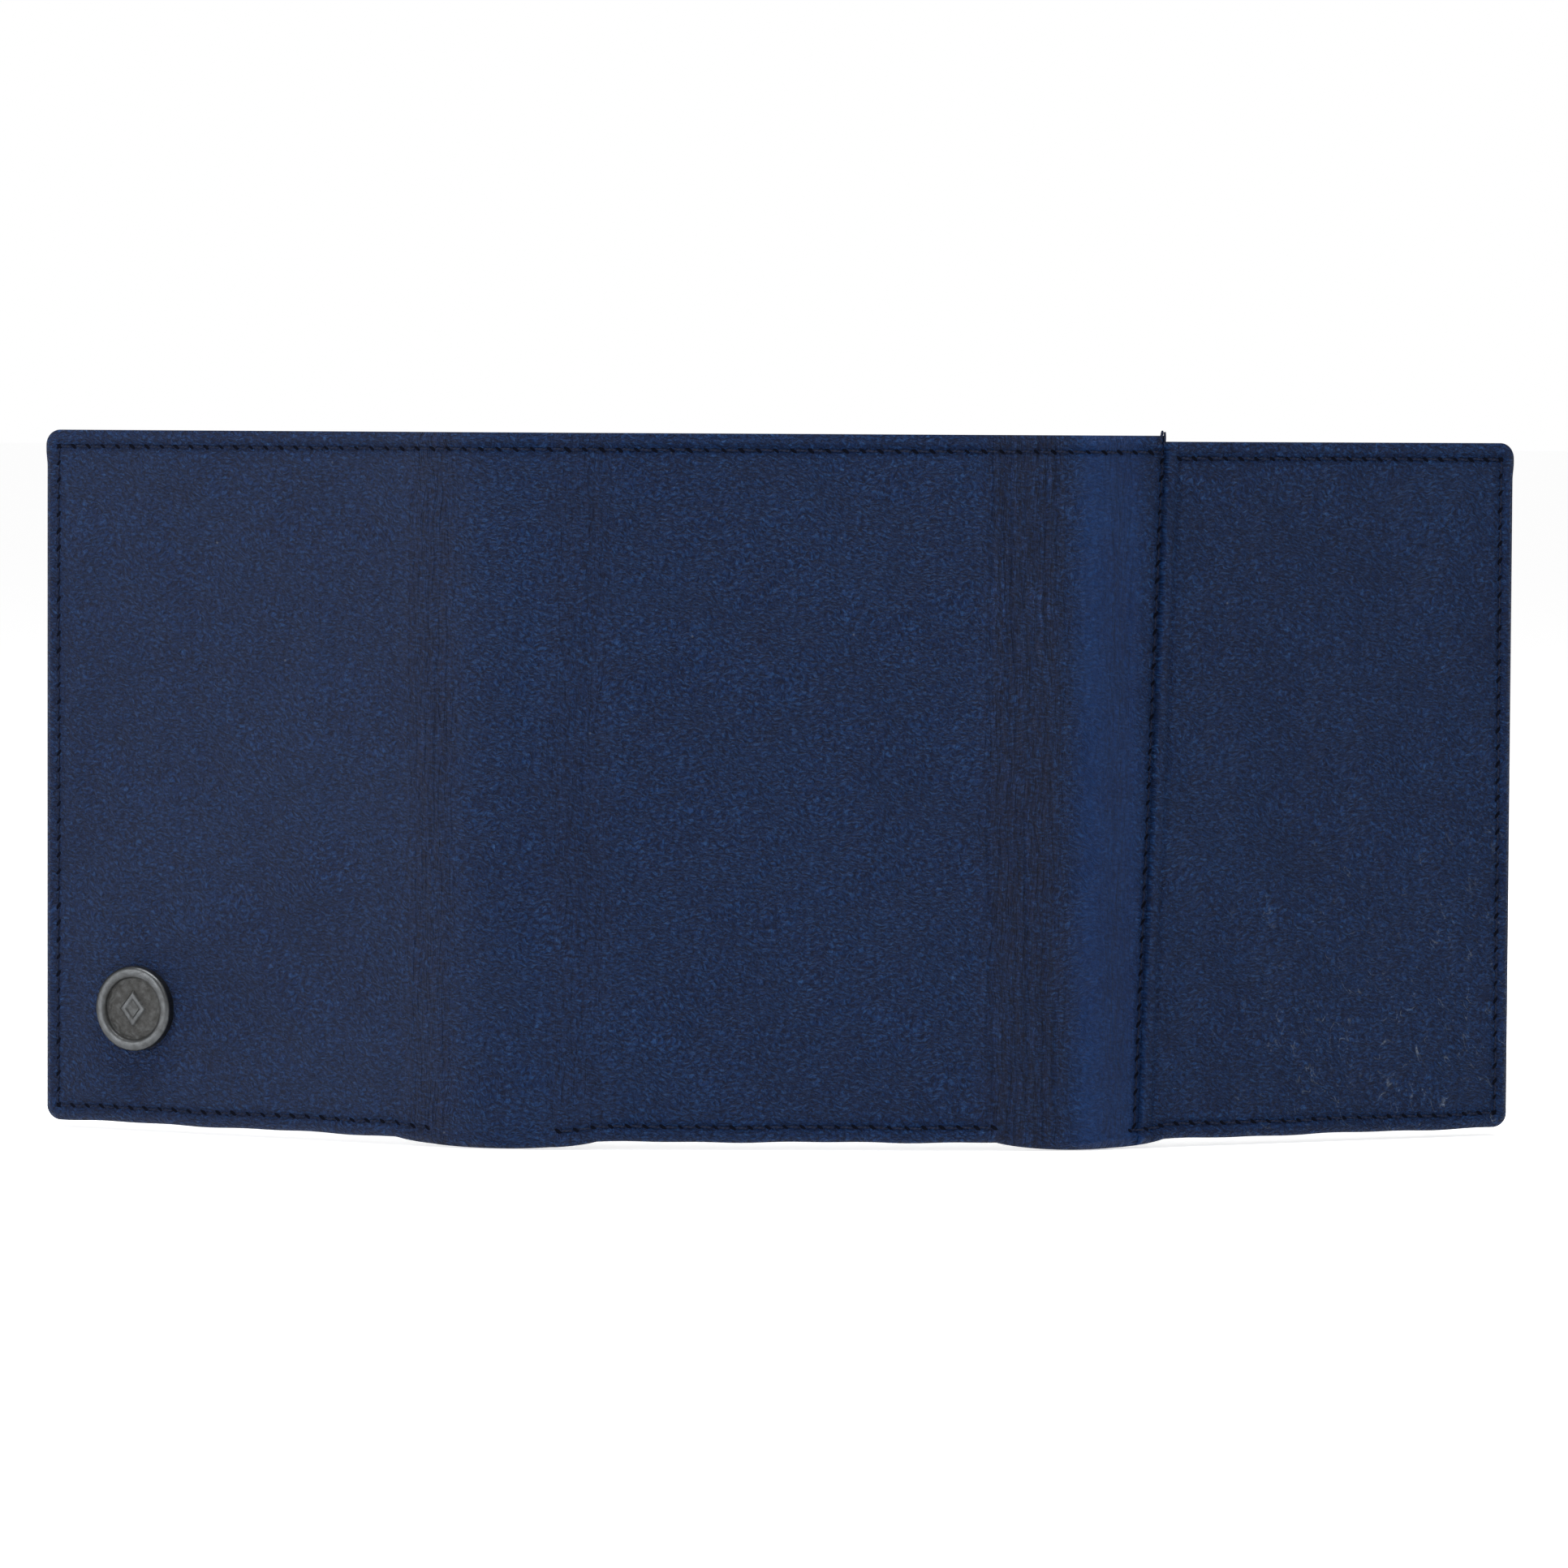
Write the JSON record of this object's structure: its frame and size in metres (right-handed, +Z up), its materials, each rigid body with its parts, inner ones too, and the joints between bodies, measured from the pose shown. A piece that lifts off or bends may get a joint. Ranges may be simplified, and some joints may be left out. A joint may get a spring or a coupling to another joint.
{
  "type": "trifold wallet",
  "caption": "Slim leather trifold wallet standing half open on its long edge, with a full-length bill compartment, card pockets and a round metal rivet emblem.",
  "frame": {"origin": "middle of the centre panel's standing edge, half-way through its thickness", "axes": "+X along the centre panel toward the panel with the joining seam, +Y from the outer face toward the inside, +Z up the short sides"},
  "size_m": [0.2175, 0.0365, 0.1032],
  "materials": {
    "outer_leather": "navy fine-grained nappa, soft satin sheen",
    "inner_leather": "navy smooth leather, satin",
    "lining_cloth": "dark navy woven lining, matt",
    "board": "grey-brown bonded stiffener board",
    "thread": "navy bonded polyester thread",
    "antique_metal": "antique nickel plate, darkened in the field",
    "clear_film": "clear vinyl film"
  },
  "bodies": {
    "centre_panel": {"bill_lining_centre": "lining_cloth", "id_window_film": "clear_film", "id_window_frame": "inner_leather", "inner_base_centre": "inner_leather", "outer_skin_centre": "outer_leather", "stiffener_board_centre": "board", "stitches_bottom_centre": "thread", "stitches_id_window": "thread", "stitches_top_centre": "thread", "turned_edges_centre": "outer_leather"},
    "left_spine": {"bill_lining_fold_left": "lining_cloth", "inner_fold_left": "inner_leather", "outer_fold_left": "outer_leather", "stitches_top_fold_left": "thread", "turned_edges_fold_left": "outer_leather"},
    "left_panel": {"bill_lining_left": "lining_cloth", "card_pocket_left_back": "inner_leather", "card_pocket_left_front": "inner_leather", "card_pocket_left_middle": "inner_leather", "emblem_cap": "antique_metal", "emblem_post": "antique_metal", "emblem_washer": "antique_metal", "inner_base_left": "inner_leather", "outer_skin_left": "outer_leather", "stiffener_board_left": "board", "stitches_bottom_left": "thread", "stitches_pockets_left": "thread", "stitches_side_left": "thread", "stitches_top_left": "thread", "turned_edges_left": "outer_leather"},
    "right_spine": {"bill_lining_fold_right": "lining_cloth", "inner_fold_right": "inner_leather", "outer_fold_right": "outer_leather", "stitches_top_fold_right": "thread", "turned_edges_fold_right": "outer_leather"},
    "right_panel": {"bill_lining_right": "lining_cloth", "card_pocket_right_back": "inner_leather", "card_pocket_right_front": "inner_leather", "card_pocket_right_middle": "inner_leather", "inner_base_right": "inner_leather", "outer_skin_right": "outer_leather", "outer_skin_seam_band": "outer_leather", "stiffener_board_right": "board", "stitches_bottom_right": "thread", "stitches_joining_seam": "thread", "stitches_pockets_right": "thread", "stitches_side_right": "thread", "stitches_top_right": "thread", "turned_edges_right": "outer_leather"}
  },
  "joints": [
    {"name": "left_inner_fold", "type": "hinge", "parent": "centre_panel", "child": "left_spine", "pos_m": [-0.03525, -0.00077, 0.051], "axis": [0, 0, -1], "range_deg": [-13.5, 76.5]},
    {"name": "left_outer_fold", "type": "hinge", "parent": "left_spine", "child": "left_panel", "pos_m": [-0.04692, 0.00203, 0.051], "axis": [0, 0, -1], "range_deg": [-13.5, 76.5]},
    {"name": "right_inner_fold", "type": "hinge", "parent": "centre_panel", "child": "right_spine", "pos_m": [0.03775, -0.00077, 0.051], "axis": [0, 0, 1], "range_deg": [-10.5, 79.5]},
    {"name": "right_outer_fold", "type": "hinge", "parent": "right_spine", "child": "right_panel", "pos_m": [0.04463, 0.0005, 0.051], "axis": [0, 0, 1], "range_deg": [-10.5, 79.5]}
  ],
  "couplings": [
    {"joint": "left_outer_fold", "follows": "left_inner_fold", "ratio": 1},
    {"joint": "right_outer_fold", "follows": "right_inner_fold", "ratio": 1}
  ]
}
